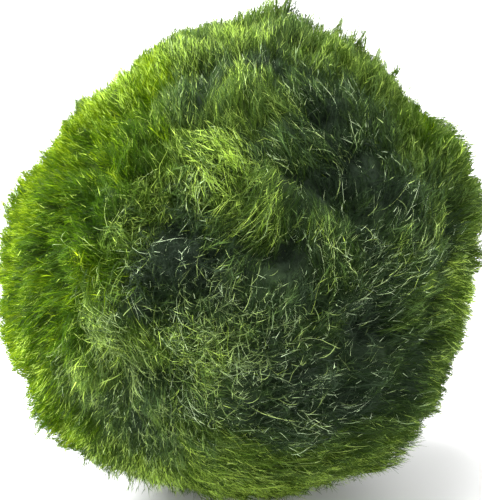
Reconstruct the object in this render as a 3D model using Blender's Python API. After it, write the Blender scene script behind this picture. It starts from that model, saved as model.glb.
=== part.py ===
"""A marimo moss ball: one felted ball of green algae filaments, 60 mm across.

The ball grew as one piece, so it is one closed solid, whose surface runs through the tips of
the filaments. It has the ball's lumps and hollows, the locks into which its filaments are
combed, and the small flat spot on which it sits.

Units are metres, with +Z up. The origin is the middle of the flat spot. The front faces -Y.
"""

import math

import bmesh
import bpy
import numpy as np

MM = 0.001

# Driving dimensions
BALL_WIDTH = 60.0 * MM
FLAT_SPOT_WIDTH = 20.0 * MM
BALL_RADIUS = BALL_WIDTH / 2
FLAT_SPOT_DEPTH = BALL_RADIUS - math.sqrt(BALL_RADIUS**2 - (FLAT_SPOT_WIDTH / 2) ** 2)

# The surface grid: squares along each side of the cube that is blown up into the ball, and
# the shortest edge that the cut of the flat spot leaves
GRID_SQUARES = 28
SHORTEST_EDGE = 0.25 * MM

# The front is described as it is seen from a little above the level of the ball
SEEN_FROM_ABOVE = math.radians(16.0)
SEEN_RIGHT = np.array([1.0, 0.0, 0.0])
SEEN_UP = np.array([0.0, math.sin(SEEN_FROM_ABOVE), math.cos(SEEN_FROM_ABOVE)])
SEEN_NEAR = np.array([0.0, -math.cos(SEEN_FROM_ABOVE), math.sin(SEEN_FROM_ABOVE)])

# Lumps and hollows of the front and the rim: right and up of the ball's middle, how far each
# one reaches, and how high it stands, all in millimetres. A hollow has a negative height.
LUMPS = (
    (5.0, 29.8, 5.0, 1.4),
    (13.5, 26.8, 4.5, 1.3),
    (27.2, 12.7, 7.5, 0.5),
    (21.0, -21.0, 10.0, 1.2),
    (29.0, -8.0, 7.0, -2.0),
    (29.5, -5.0, 3.5, -0.7),
    (9.5, -28.5, 5.0, -1.1),
    (-14.0, -26.0, 7.0, 1.0),
    (-21.0, -21.0, 12.0, 2.0),
    (-17.5, -24.5, 4.0, 0.8),
    (-29.0, -8.0, 9.0, 1.5),
    (-30.0, 3.0, 5.0, 0.7),
    (-12.0, -9.0, 5.0, 0.9),
    (-1.0, -11.0, 6.0, 0.8),
    (19.5, 3.5, 5.5, 1.1),
    (-21.5, 21.0, 12.0, -2.3),
    (-15.0, 26.0, 5.5, -2.8),
    (21.8, 20.5, 4.0, -2.7),
    (30.0, 0.5, 3.6, -1.5),
    (26.3, 1.8, 3.2, -1.8),
    (4.3, 1.2, 3.2, -2.3),
    (7.8, 17.6, 2.8, -1.3),
    (12.0, 12.6, 2.8, -1.6),
    (13.4, 7.0, 2.8, -1.6),
    (16.0, -8.0, 3.4, -1.8),
    (-5.0, 23.5, 2.8, -1.3),
    (-14.6, -12.4, 2.2, -1.2),
    (-10.8, -5.6, 2.2, -1.2),
    (-8.2, -16.0, 2.2, -1.1),
    (-9.0, 5.0, 3.0, -1.1),
)

# Locks of the front: the middle of each, right and up of the ball's middle, the way it is
# combed (degrees anticlockwise from the right), its length, its width and its height
FRONT_LOCKS = (
    (4.0, 27.6, 72, 10.0, 5.5, 2.5),
    (-2.5, 27.0, 92, 9.0, 5.5, 1.5),
    (-9.5, 25.0, 100, 9.0, 6.0, 1.4),
    (-16.0, 20.5, 112, 9.0, 6.0, 1.5),
    (-21.5, 15.0, 120, 8.0, 6.0, 1.5),
    (-25.0, 8.0, 130, 8.0, 6.0, 1.4),
    (-27.0, 0.0, 150, 8.0, 6.0, 1.2),
    (-26.5, -8.5, 215, 8.0, 6.0, 1.2),
    (-23.5, -15.5, 235, 9.0, 6.0, 1.5),
    (-17.5, -21.5, 250, 9.0, 6.0, 1.5),
    (-10.0, -25.0, 262, 9.0, 6.0, 1.2),
    (-2.0, -26.5, 285, 9.0, 7.0, 1.1),
    (6.5, -25.5, 335, 9.0, 6.0, 1.2),
    (14.0, -22.5, 5, 9.0, 5.5, 1.4),
    (20.5, -17.5, 20, 8.0, 5.5, 1.5),
    (25.0, -10.5, 10, 8.0, 5.5, 1.5),
    (26.5, -4.5, 345, 7.0, 5.0, 1.4),
    (27.5, 6.0, 60, 8.0, 5.5, 1.6),
    (25.0, 12.5, 70, 8.0, 6.0, 1.8),
    (20.0, 16.8, 75, 7.0, 5.0, 1.5),
    (16.0, 22.0, 80, 9.0, 5.5, 2.2),
    (10.5, 25.5, 78, 9.0, 5.0, 2.0),
    (1.0, 20.5, 118, 10.0, 6.0, 1.8),
    (6.5, 15.0, 132, 9.0, 5.0, 1.6),
    (12.5, 18.0, 125, 8.0, 5.0, 1.5),
    (-7.5, 18.5, 96, 10.0, 5.5, 1.8),
    (-12.5, 13.5, 125, 9.0, 5.5, 1.6),
    (-4.5, 12.5, 125, 10.0, 5.5, 2.0),
    (2.4, 6.8, 48, 9.5, 5.0, 2.9),
    (9.6, 2.6, 105, 10.5, 5.0, 2.1),
    (18.5, 6.0, 72, 11.0, 5.0, 1.8),
    (20.5, -1.5, 65, 9.0, 5.0, 1.6),
    (16.0, 10.5, 110, 8.0, 4.5, 1.4),
    (4.0, -4.0, 97, 10.0, 7.0, 1.9),
    (-15.5, -7.0, 20, 9.0, 5.5, 1.8),
    (-19.0, 1.0, 175, 9.0, 6.0, 1.5),
    (-14.5, 6.5, 150, 9.0, 5.5, 1.5),
    (-9.0, 0.5, 10, 9.0, 5.5, 1.5),
    (-11.0, -15.0, 288, 9.0, 5.5, 1.8),
    (-18.0, -13.5, 250, 8.0, 5.0, 1.5),
    (-2.0, -16.5, 340, 10.0, 6.0, 1.8),
    (7.5, -13.0, 32, 10.0, 6.0, 1.6),
    (15.0, -13.5, 45, 9.0, 5.5, 1.8),
    (8.5, -19.5, 355, 10.0, 5.5, 1.5),
)

# Locks and gentle lumps of the back, set out along a spiral that runs a little past the rim
BACK_LOCKS = 36
BACK_LOCK_SIZE = (11.0, 7.0, 1.9)
BACK_LUMPS = 9
BACK_LUMP_REACH = 8.0
BACK_LUMP_HEIGHT = 1.3
PAST_THE_RIM = 0.12
GOLDEN_ANGLE = math.pi * (3.0 - math.sqrt(5.0))

# Where along a lock, from -1 at its root to 1 at its tip, it stops rising and starts to drop
LOCK_CREST = 0.40
LOCK_DROP = 0.50

# The ball's own weight presses the locks flat around the flat spot, out to this far
PRESSED_WIDTH = 44.0 * MM

# Colour of the filaments and how dull they are
MOSS_COLOUR = (0.085, 0.160, 0.022, 1.0)
MOSS_ROUGHNESS = 0.85


def clear_scene():
    for existing in list(bpy.data.objects):
        bpy.data.objects.remove(existing, do_unlink=True)


def unit(vector):
    return vector / np.linalg.norm(vector)


def seen_direction(right, up):
    """The way from the ball's middle to a point of the front, seen right and up of the middle."""
    across = np.array([right, up]) * MM / BALL_RADIUS
    off_axis = math.hypot(*across)
    if off_axis > 1.0:
        across /= off_axis
    near = math.sqrt(max(0.0, 1.0 - across @ across))
    return across[0] * SEEN_RIGHT + across[1] * SEEN_UP + near * SEEN_NEAR


def combed(direction, heading):
    """The way a lock lies on the surface there, for a heading as it is seen from the front."""
    angle = math.radians(heading)
    along = math.cos(angle) * SEEN_RIGHT + math.sin(angle) * SEEN_UP
    return unit(along - (along @ direction) * direction)


def back_directions(count):
    """Evenly spread directions over the half of the ball that is seen from behind."""
    for i in range(count):
        off_axis = 1.0 - (1.0 + PAST_THE_RIM) * (i + 0.5) / count
        turn = i * GOLDEN_ANGLE
        ring = math.sqrt(1.0 - off_axis**2)
        yield (
            ring * math.cos(turn) * SEEN_RIGHT
            + ring * math.sin(turn) * SEEN_UP
            - off_axis * SEEN_NEAR
        )


def back_heading(direction):
    """The comb of the back: upwards, and swirling slowly about the ball."""
    swirl = np.cross(SEEN_NEAR, direction)
    along = 0.75 * SEEN_UP + 0.9 * swirl + 0.35 * np.sin(5.0 * direction[::-1])
    return unit(along - (along @ direction) * direction)


def all_locks():
    """Each lock's middle, comb, length, width and height, the last three in metres."""
    for right, up, heading, length, width, height in FRONT_LOCKS:
        middle = seen_direction(right, up)
        yield middle, combed(middle, heading), length * MM, width * MM, height * MM
    for middle in back_directions(BACK_LOCKS):
        length, width, height = BACK_LOCK_SIZE
        yield middle, back_heading(middle), length * MM, width * MM, height * MM


def all_lumps():
    """Each lump's middle, reach and height, the last two in metres."""
    for right, up, reach, height in LUMPS:
        yield seen_direction(right, up), reach * MM, height * MM
    for i, middle in enumerate(back_directions(BACK_LUMPS)):
        height = BACK_LUMP_HEIGHT if i % 2 == 0 else -BACK_LUMP_HEIGHT
        yield middle, BACK_LUMP_REACH * MM, height * MM


def smooth_step(start, end, value):
    t = np.clip((value - start) / (end - start), 0.0, 1.0)
    return t * t * (3.0 - 2.0 * t)


def lump_relief(directions):
    """How far the lumps and hollows raise the surface in each direction."""
    relief = np.zeros(len(directions))
    for middle, reach, height in all_lumps():
        distance = np.linalg.norm(directions - middle, axis=1) * BALL_RADIUS
        relief += height * np.exp(-((distance / reach) ** 2))
    return relief


def lock_relief(directions):
    """How far the locks raise the surface: each rises from its root and drops at its tip."""
    relief = np.zeros(len(directions))
    for middle, comb, length, width, height in all_locks():
        side = np.cross(middle, comb)
        along = (directions @ comb) * BALL_RADIUS / (length / 2)
        aside = (directions @ side) * BALL_RADIUS / (width / 2)
        rise = smooth_step(-1.0, LOCK_CREST, along)
        drop = 1.0 - smooth_step(LOCK_DROP, 1.0, along)
        round_over = np.sqrt(np.clip(1.0 - aside**2, 0.0, 1.0))
        on_this_side = directions @ middle > 0.0
        relief = np.maximum(relief, height * rise * drop * round_over * on_this_side)
    return relief


def blown_up_cube():
    """A cube's grid blown up into a ball of radius 1, with squares of nearly even size."""
    mesh = bmesh.new()
    bmesh.ops.create_cube(mesh, size=2.0)
    bmesh.ops.subdivide_edges(
        mesh, edges=mesh.edges[:], cuts=GRID_SQUARES - 1, use_grid_fill=True
    )
    for vertex in mesh.verts:
        even = [math.tan(place * math.pi / 4) for place in vertex.co]
        vertex.co = unit(np.array(even))
    return mesh


def unpressed(directions):
    """1 where the locks stand free, falling to 0 where the ball sits on them."""
    from_axis = np.hypot(directions[:, 0], directions[:, 1]) * BALL_RADIUS
    free = smooth_step(FLAT_SPOT_WIDTH / 2, PRESSED_WIDTH / 2, from_axis)
    return np.where(directions[:, 2] < 0.0, free, 1.0)


def shape_ball(mesh):
    """Moves the grid out to the surface, at the ball's real width."""
    directions = np.array([vertex.co[:] for vertex in mesh.verts])
    relief = lump_relief(directions) + lock_relief(directions)
    radii = BALL_RADIUS + relief * unpressed(directions)
    surface = directions * radii[:, None]
    low, high = surface.min(axis=0), surface.max(axis=0)
    surface *= BALL_WIDTH / (high[0] - low[0])
    for vertex, place in zip(mesh.verts, surface, strict=True):
        vertex.co = place


def sit_on_flat_spot(mesh):
    """Cuts the flat spot, and puts the origin on it below the middle of the ball."""
    lowest = min(vertex.co.z for vertex in mesh.verts)
    bmesh.ops.bisect_plane(
        mesh,
        geom=mesh.verts[:] + mesh.edges[:] + mesh.faces[:],
        dist=1e-6,
        plane_co=(0.0, 0.0, lowest + FLAT_SPOT_DEPTH),
        plane_no=(0.0, 0.0, -1.0),
        clear_outer=True,
    )
    rim = [edge for edge in mesh.edges if edge.is_boundary]
    rim_vertices = list({vertex for edge in rim for vertex in edge.verts})
    bmesh.ops.remove_doubles(mesh, verts=rim_vertices, dist=SHORTEST_EDGE)
    rim = [edge for edge in mesh.edges if edge.is_boundary]
    bmesh.ops.contextual_create(mesh, geom=rim)
    bmesh.ops.recalc_face_normals(mesh, faces=mesh.faces[:])
    places = np.array([vertex.co[:] for vertex in mesh.verts])
    low, high = places.min(axis=0), places.max(axis=0)
    middle = (low + high) / 2
    bmesh.ops.translate(mesh, verts=mesh.verts[:], vec=(-middle[0], -middle[1], -low[2]))


def moss_material():
    material = bpy.data.materials.new("moss")
    material.use_nodes = True
    shader = material.node_tree.nodes["Principled BSDF"]
    shader.inputs["Base Color"].default_value = MOSS_COLOUR
    shader.inputs["Roughness"].default_value = MOSS_ROUGHNESS
    shader.inputs["Metallic"].default_value = 0.0
    return material


def make_moss_ball():
    grid = blown_up_cube()
    shape_ball(grid)
    sit_on_flat_spot(grid)
    data = bpy.data.meshes.new("moss_ball")
    grid.to_mesh(data)
    grid.free()
    data.shade_smooth()
    data.materials.append(moss_material())
    ball = bpy.data.objects.new("moss_ball", data)
    bpy.context.scene.collection.objects.link(ball)
    return ball


clear_scene()
make_moss_ball()
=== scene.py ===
import math
from itertools import product

import bpy
import numpy as np
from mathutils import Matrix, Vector


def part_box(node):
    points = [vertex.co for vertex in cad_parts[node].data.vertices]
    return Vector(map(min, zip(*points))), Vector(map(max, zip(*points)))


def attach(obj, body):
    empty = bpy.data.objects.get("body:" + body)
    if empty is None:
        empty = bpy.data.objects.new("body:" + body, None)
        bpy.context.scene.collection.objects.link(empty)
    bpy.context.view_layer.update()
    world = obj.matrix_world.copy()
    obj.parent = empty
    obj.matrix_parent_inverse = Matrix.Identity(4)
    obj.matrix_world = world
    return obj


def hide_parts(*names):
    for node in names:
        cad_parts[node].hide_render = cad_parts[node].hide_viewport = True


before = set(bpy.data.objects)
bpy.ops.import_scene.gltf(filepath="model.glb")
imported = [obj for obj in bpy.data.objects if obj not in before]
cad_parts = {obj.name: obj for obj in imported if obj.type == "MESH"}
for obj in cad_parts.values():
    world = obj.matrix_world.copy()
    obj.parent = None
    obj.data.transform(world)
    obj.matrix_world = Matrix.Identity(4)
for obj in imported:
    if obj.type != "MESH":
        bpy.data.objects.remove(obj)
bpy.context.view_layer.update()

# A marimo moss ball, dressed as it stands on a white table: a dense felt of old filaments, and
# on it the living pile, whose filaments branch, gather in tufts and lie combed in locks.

MM = 0.001


# The photographer's place. The camera looks a little down on the ball from far enough back for
# a long lens, and the ball nearly fills the frame. The front's growth is set out as seen here.
seen_from_above = math.radians(16.0)
seen_right = np.array([1.0, 0.0, 0.0])
seen_up = np.array([0.0, math.sin(seen_from_above), math.cos(seen_from_above)])
seen_near = np.array([0.0, -math.cos(seen_from_above), math.sin(seen_from_above)])

ball_low, ball_high = (np.array(corner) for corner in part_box("moss_ball"))
ball_middle = (ball_low + ball_high) / 2
ball_radius = (ball_high[0] - ball_low[0]) / 2

lens = 180.0
sensor = 36.0
nearest_sight = 0.01
furthest_sight = 20.0
frame_height = 58.95 * MM
camera_distance = frame_height * lens / sensor
aim_right = 0.1 * MM
aim_down = 0.7 * MM
aim = ball_middle + aim_right * seen_right - aim_down * seen_up


def add_object(name, data):
    """A new object of this data, in the scene."""
    new = bpy.data.objects.new(name, data)
    bpy.context.scene.collection.objects.link(new)
    return new


camera_data = bpy.data.cameras.new("photographer")
camera_data.lens = lens
camera_data.sensor_width = sensor
camera_data.clip_start = nearest_sight
camera_data.clip_end = furthest_sight
camera = add_object("photographer", camera_data)
camera.location = aim + seen_near * camera_distance
camera.rotation_euler = (math.pi / 2 - seen_from_above, 0.0, 0.0)
bpy.context.scene.camera = camera


# The table and the light. The table and the room behind it are white and brightly lit. A broad
# window behind the ball at the upper left lights it, more light comes from above, and the near
# side has little more than what a white card throws back.
table_reach = 4.0
table_white = (0.81, 0.81, 0.81, 1.0)
table_glow = 0.07
white = (1.0, 1.0, 1.0, 1.0)


def fill(node, values):
    """Sets the node's sockets to these values, and gives the node back."""
    for socket, value in values.items():
        node.inputs[socket].default_value = value
    return node


def new_material(name, roughness, specular=0.5):
    """A new material, the nodes and links that more can be added to, and its shader."""
    material = bpy.data.materials.new(name)
    material.use_nodes = True
    nodes = material.node_tree.nodes
    shader = nodes["Principled BSDF"]
    fill(shader, {"Roughness": roughness, "Specular IOR Level": specular})
    return material, nodes, material.node_tree.links, shader


table_mesh = bpy.data.meshes.new("table")
sides = ((-1, -1), (1, -1), (1, 1), (-1, 1))
corners = [(x * table_reach, y * table_reach, 0.0) for x, y in sides]
table_mesh.from_pydata(corners, [], [(0, 1, 2, 3)])
white_table, _, _, table_shader = new_material("white table", roughness=0.6)
fill(table_shader, {"Base Color": table_white, "Emission Color": white})
fill(table_shader, {"Emission Strength": table_glow})
table_mesh.materials.append(white_table)
table = add_object("table", table_mesh)


def soft_light(name, place, size, power):
    """A square softbox at a place given in metres from the ball's middle, turned to the ball."""
    data = bpy.data.lights.new(name, "AREA")
    data.shape = "SQUARE"
    data.size = size
    data.energy = power
    lamp = add_object(name, data)
    lamp.location = ball_middle + np.array(place)
    towards_ball = -Vector(place)
    lamp.rotation_euler = towards_ball.to_track_quat("-Z", "Y").to_euler()


soft_light("window", (-0.50, 0.28, 0.33), 0.30, 14.6)
soft_light("ceiling", (-0.17, -0.06, 0.56), 0.50, 8.5)
soft_light("bounce card", (0.08, -0.45, -0.01), 0.25, 1.9)

# The room is brightest behind the ball and a little above it, and it is seen as plain white
brightest_way = (0.15, 0.95, 0.22)
dim_side, bright_side = -0.3, 1.0
dim_light, bright_light = 0.50, 2.20

world = bpy.data.worlds.new("white room")
bpy.context.scene.world = world
world.use_nodes = True
world_nodes = world.node_tree.nodes
world_links = world.node_tree.links
world_nodes.clear()
room_light = fill(world_nodes.new("ShaderNodeBackground"), {"Color": white})
direction = world_nodes.new("ShaderNodeTexCoord")
towards_bright = fill(world_nodes.new("ShaderNodeVectorMath"), {1: brightest_way})
towards_bright.operation = "DOT_PRODUCT"
brightness = world_nodes.new("ShaderNodeMapRange")
fill(brightness, {"From Min": dim_side, "From Max": bright_side})
fill(brightness, {"To Min": dim_light, "To Max": bright_light})
world_links.new(direction.outputs["Generated"], towards_bright.inputs[0])
world_links.new(towards_bright.outputs["Value"], brightness.inputs["Value"])
world_links.new(brightness.outputs["Result"], room_light.inputs["Strength"])
room_seen = fill(world_nodes.new("ShaderNodeBackground"), {"Color": white, "Strength": 1.0})
ray_kind = world_nodes.new("ShaderNodeLightPath")
either = world_nodes.new("ShaderNodeMixShader")
room_out = world_nodes.new("ShaderNodeOutputWorld")
world_links.new(ray_kind.outputs["Is Camera Ray"], either.inputs["Fac"])
world_links.new(room_light.outputs["Background"], either.inputs[1])
world_links.new(room_seen.outputs["Background"], either.inputs[2])
world_links.new(either.outputs["Shader"], room_out.inputs["Surface"])
bpy.context.scene.view_settings.view_transform = "Standard"


# The felt: the ball's older filaments, matted into a firm body a little below the tips of the
# living pile. It shows softly between the filaments and at the bottom of the hollows, where it is
# painted darker as painted shade.
felt_depth = 2.3 * MM
felt_in_hollows = 0.7
felt_lump_height = 0.25 * MM
felt_lump_width = 1.6 * MM
felt_lowest = 0.3 * MM
felt_painted_shade_in_hollows = 0.5
felt_squares = 40
surface_rows = 241
surface_columns = 480


def unit(vectors):
    return vectors / np.linalg.norm(vectors, axis=-1, keepdims=True)


def survey_outer_form():
    """How far the solid's surface stands from the ball's middle, row by row from the top."""
    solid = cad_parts["moss_ball"]
    stands = np.empty((surface_rows, surface_columns))
    for row, column in product(range(surface_rows), range(surface_columns)):
        fall = math.pi * row / (surface_rows - 1)
        turn = 2 * math.pi * column / surface_columns
        ring = math.sin(fall)
        way = (ring * math.cos(turn), ring * math.sin(turn), math.cos(fall))
        _, place, _, _ = solid.ray_cast(ball_middle, way)
        stands[row, column] = np.linalg.norm(np.array(place) - ball_middle)
    return stands


outer_form = survey_outer_form()


def outer_reach(directions):
    """How far the outer form, which the tips reach, stands from the middle in each direction."""
    row = np.arccos(np.clip(directions[:, 2], -1.0, 1.0)) / math.pi * (surface_rows - 1)
    column = np.arctan2(directions[:, 1], directions[:, 0]) / (2 * math.pi) * surface_columns
    above = np.minimum(row.astype(int), surface_rows - 2)
    below = above + 1
    column_before = np.floor(column).astype(int)
    down = row - above
    across = column - column_before
    left = column_before % surface_columns
    right = (column_before + 1) % surface_columns
    upper = outer_form[above, left] * (1 - across) + outer_form[above, right] * across
    lower = outer_form[below, left] * (1 - across) + outer_form[below, right] * across
    return upper * (1 - down) + lower * down


def waves(places, scale, seed, count=12):
    """A smooth random height between about -1 and 1, with bumps about as wide as scale."""
    draw = np.random.default_rng(seed)
    ways = unit(draw.normal(size=(count, 3))) * 2 * math.pi / (2 * scale)
    ways *= draw.uniform(0.6, 1.5, size=(count, 1))
    shifts = draw.uniform(0.0, 2 * math.pi, size=count)
    usual_peak = 1.6
    return np.sin(places @ ways.T + shifts).sum(axis=1) / math.sqrt(count / 2) / usual_peak


# The growth is combed differently from place to place, as the ball has rolled and lain. Each
# lock of the front: right and up of the middle (mm), the heading that its filaments take
# (degrees anticlockwise from the right), their lift off the surface, their length (mm), how
# fresh they are from 0 to 1, and their disorder (degrees)
# Their freshness also carries painted light and shade: it is higher on the lit left side and at
# the rims, and lower in the middle of the front
front_locks = (
    (2.7, 27.8, 84, 0.6, 5.5, 0.70, 8),
    (7.5, 26.6, 80, 0.6, 4.5, 0.60, 16),
    (11.8, 24.6, 78, 0.6, 4.5, 0.72, 18),
    (16.2, 21.2, 76, 0.5, 4.5, 0.76, 18),
    (19.3, 19.0, 70, 0.5, 4.0, 0.74, 18),
    (23.0, 15.6, 75, 0.9, 3.0, 0.80, 10),
    (26.8, 11.0, 60, 0.7, 3.5, 0.76, 12),
    (28.6, 5.6, 35, 0.7, 3.5, 0.70, 12),
    (28.0, 0.6, 10, 0.5, 3.5, 0.76, 14),
    (26.8, -5.0, 350, 0.7, 3.5, 0.76, 12),
    (26.2, -11.2, 345, 0.6, 3.5, 0.76, 14),
    (23.7, -16.8, 350, 0.6, 3.5, 0.66, 14),
    (19.3, -21.8, 10, 0.4, 4.5, 0.68, 12),
    (13.7, -25.5, 15, 0.3, 5.0, 0.68, 10),
    (7.5, -28.0, 12, 0.3, 5.0, 0.76, 10),
    (0.6, -28.6, 350, 0.3, 5.0, 0.76, 12),
    (-6.2, -28.0, 300, 0.4, 4.5, 0.76, 12),
    (-13.0, -25.5, 262, 0.6, 4.0, 0.72, 12),
    (-18.7, -21.8, 240, 0.7, 4.0, 0.85, 12),
    (-23.7, -16.2, 225, 0.7, 4.0, 0.84, 12),
    (-27.4, -10.0, 205, 0.8, 3.5, 0.88, 12),
    (-28.9, -3.7, 190, 0.9, 3.5, 0.89, 12),
    (-28.6, 2.5, 170, 0.9, 3.5, 0.91, 12),
    (-26.2, 8.7, 150, 0.9, 3.5, 0.91, 12),
    (-22.4, 14.3, 140, 0.8, 3.5, 0.90, 12),
    (-18.0, 18.7, 128, 0.7, 4.5, 0.92, 14),
    (-12.5, 21.8, 115, 0.6, 4.5, 0.92, 12),
    (-6.8, 24.9, 100, 0.5, 4.5, 0.78, 10),
    (-1.9, 26.8, 92, 0.5, 5.0, 0.62, 10),
    (1.2, 21.8, 92, 0.3, 5.5, 0.74, 8),
    (-4.6, 22.8, 88, 0.3, 4.5, 0.36, 10),
    (-4.9, 19.0, 84, 0.3, 4.5, 0.40, 12),
    (-8.4, 19.6, 105, 0.4, 5.0, 0.76, 12),
    (-1.4, 19.0, 95, 0.3, 5.0, 0.76, 10),
    (-11.2, 15.0, 110, 0.4, 5.0, 0.80, 14),
    (-15.6, 16.2, 135, 0.4, 4.5, 0.84, 14),
    (-20.5, 10.0, 145, 0.6, 4.0, 0.84, 14),
    (-17.4, 6.2, 135, 0.4, 4.5, 0.80, 20),
    (-22.4, 3.7, 165, 0.6, 4.0, 0.81, 16),
    (-23.7, -1.2, 190, 0.6, 4.0, 0.81, 16),
    (-12.5, 8.1, 90, 0.3, 4.0, 0.80, 25),
    (-9.3, 7.5, 75, 0.4, 4.0, 0.74, 20),
    (-11.2, 3.7, 15, 0.3, 5.0, 0.62, 16),
    (-16.5, 0.0, 140, 0.4, 4.5, 0.80, 22),
    (-4.4, 12.5, 135, 0.35, 4.5, 0.76, 12),
    (-1.9, 8.7, 138, 0.3, 5.0, 0.76, 14),
    (-5.0, 6.2, 30, 0.3, 4.0, 0.50, 35),
    (1.2, 12.5, 130, 0.35, 5.0, 0.50, 14),
    (2.5, 17.0, 130, 0.3, 5.5, 0.70, 12),
    (7.5, 20.0, 130, 0.3, 5.5, 0.40, 12),
    (4.9, 23.6, 96, 0.3, 4.5, 0.30, 10),
    (5.6, 13.7, 138, 0.3, 5.5, 0.28, 12),
    (10.6, 16.2, 135, 0.3, 5.0, 0.22, 14),
    (14.3, 18.5, 118, 0.3, 4.5, 0.35, 14),
    (16.2, 13.7, 120, 0.35, 4.5, 0.38, 16),
    (20.0, 12.5, 100, 0.5, 4.0, 0.66, 16),
    (13.0, 10.6, 145, 0.2, 4.0, 0.20, 30),
    (8.7, 8.7, 138, 0.2, 4.5, 0.40, 20),
    (3.7, 6.2, 50, 0.45, 5.5, 0.62, 10),
    (5.6, 8.1, 55, 0.5, 5.0, 0.62, 10),
    (1.9, 1.9, 42, 0.4, 5.0, 0.64, 12),
    (-1.5, 4.4, 62, 0.5, 4.0, 0.64, 16),
    (10.0, 2.5, 110, 0.35, 6.0, 0.44, 10),
    (11.8, -1.9, 105, 0.4, 4.5, 0.46, 16),
    (16.8, 3.1, 70, 0.35, 4.5, 0.34, 18),
    (20.5, 4.4, 70, 0.4, 4.5, 0.32, 16),
    (23.7, 3.1, 68, 0.35, 5.0, 0.58, 8),
    (20.0, -0.6, 55, 0.3, 5.0, 0.42, 16),
    (15.6, -0.6, 50, 0.35, 4.5, 0.42, 20),
    (26.2, 1.2, 60, 0.4, 4.0, 0.20, 12),
    (24.9, 6.5, 70, 0.6, 3.5, 0.48, 12),
    (-5.0, 1.9, 20, 0.3, 4.5, 0.26, 35),
    (-7.5, -1.2, 30, 0.3, 4.5, 0.14, 35),
    (-2.5, -2.5, 60, 0.3, 4.5, 0.10, 35),
    (2.5, -4.4, 85, 0.4, 6.0, 0.34, 14),
    (7.5, -5.0, 65, 0.4, 6.0, 0.30, 14),
    (12.5, -6.2, 40, 0.3, 5.0, 0.28, 18),
    (17.4, -5.0, 25, 0.3, 5.0, 0.22, 18),
    (21.8, -6.2, 20, 0.5, 4.0, 0.60, 14),
    (16.2, -9.3, 10, 0.2, 5.0, 0.10, 30),
    (10.0, -10.0, 35, 0.35, 4.5, 0.44, 22),
    (4.4, -10.0, 60, 0.3, 4.0, 0.28, 30),
    (0.0, -8.7, 60, 0.3, 4.5, 0.46, 35),
    (-5.0, -7.5, 60, 0.3, 4.5, 0.40, 40),
    (-10.0, -6.2, 60, 0.3, 4.0, 0.24, 35),
    (-18.7, -8.7, 215, 0.3, 5.5, 0.82, 20),
    (-13.7, -11.2, 325, 0.3, 5.5, 0.66, 18),
    (-22.4, -6.2, 200, 0.5, 4.0, 0.84, 16),
    (-23.7, -11.2, 225, 0.5, 4.0, 0.83, 16),
    (-18.7, -13.7, 250, 0.4, 5.0, 0.80, 18),
    (-13.7, -15.0, 280, 0.35, 5.5, 0.58, 18),
    (-9.5, -12.5, 325, 0.3, 6.0, 0.72, 14),
    (-17.4, -18.7, 250, 0.4, 4.5, 0.58, 18),
    (-12.5, -21.2, 265, 0.4, 4.5, 0.48, 18),
    (-7.5, -22.4, 290, 0.35, 4.5, 0.50, 22),
    (-3.1, -18.7, 310, 0.3, 5.0, 0.38, 26),
    (-3.1, -13.7, 20, 0.3, 5.5, 0.66, 35),
    (2.5, -15.0, 40, 0.3, 5.0, 0.26, 35),
    (7.5, -15.0, 40, 0.3, 5.0, 0.22, 28),
    (12.5, -13.7, 45, 0.3, 4.5, 0.20, 24),
    (17.4, -12.5, 50, 0.35, 4.5, 0.30, 18),
    (21.8, -11.8, 20, 0.3, 4.0, 0.38, 18),
    (20.0, -17.4, 15, 0.3, 4.5, 0.44, 16),
    (13.7, -18.7, 25, 0.25, 5.0, 0.12, 18),
    (7.5, -20.0, 20, 0.25, 5.5, 0.18, 14),
    (1.2, -20.0, 10, 0.25, 5.5, 0.42, 16),
    (1.2, -24.3, 350, 0.25, 5.5, 0.76, 12),
    (8.7, -23.7, 12, 0.25, 5.5, 0.70, 10),
    (15.0, -22.4, 15, 0.25, 5.0, 0.64, 12),
)
back_lock_count = 60
lock_reach = 1.8 * MM

# Hollows of the front, where the pile is thin and the light doesn't reach: right and up of the
# middle, how far each one reaches, and how much deeper the tips lie than the outer form (mm)
# The filaments and felt in them are also painted darker there, as painted shade
hollows = (
    (5.6, -0.1, 2.6, 1.5),
    (2.0, 2.4, 1.4, 0.6),
    (8.9, 8.0, 3.2, 0.7),
    (0.6, 7.0, 1.2, 0.7),
    (13.5, 5.6, 2.4, 1.2),
    (13.0, 11.0, 3.0, 0.9),
    (9.7, 15.8, 3.0, 1.3),
    (-4.9, 24.2, 1.9, 2.4),
    (-5.3, 20.8, 1.7, 1.7),
    (-5.8, 18.0, 1.4, 1.0),
    (4.7, 25.8, 1.2, 1.8),
    (5.0, 23.0, 1.2, 1.4),
    (26.0, 1.4, 2.6, 1.4),
    (26.5, 5.0, 1.8, 0.8),
    (16.2, -9.3, 2.8, 1.2),
    (19.0, -17.0, 3.4, 1.0),
    (-6.3, -2.4, 3.0, 0.5),
    (18.0, 6.5, 2.2, 0.8),
    (-11.0, -8.4, 2.0, 1.4),
    (-9.3, -15.8, 2.0, 1.4),
    (-7.5, 2.2, 1.5, 0.8),
    (-13.5, 8.8, 1.6, 1.0),
    (0.8, -19.5, 2.0, 1.2),
    (22.0, -12.5, 2.4, 1.0),
    (-18.0, 5.0, 3.5, 0.4),
)


def seen_direction(right, up):
    """The way from the ball's middle to a point of the front, seen right and up of the middle."""
    across = np.array([right, up]) * MM / ball_radius
    across /= max(1.0, np.linalg.norm(across))
    near = math.sqrt(max(0.0, 1.0 - across @ across))
    return across[0] * seen_right + across[1] * seen_up + near * seen_near


def patches_of_front(rows):
    """Rows of right, up, reach and amount as arrays: directions, reaches and amounts."""
    rights, ups, reaches, amounts = np.array(rows).T
    middles = [seen_direction(right, up) for right, up in zip(rights, ups)]
    return np.array(middles), reaches * MM, amounts


def apart_from(middles, directions):
    """How far the place in each direction lies from the place of each of the middles."""
    return np.linalg.norm(directions[:, None, :] - middles[None], axis=2) * ball_radius


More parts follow.
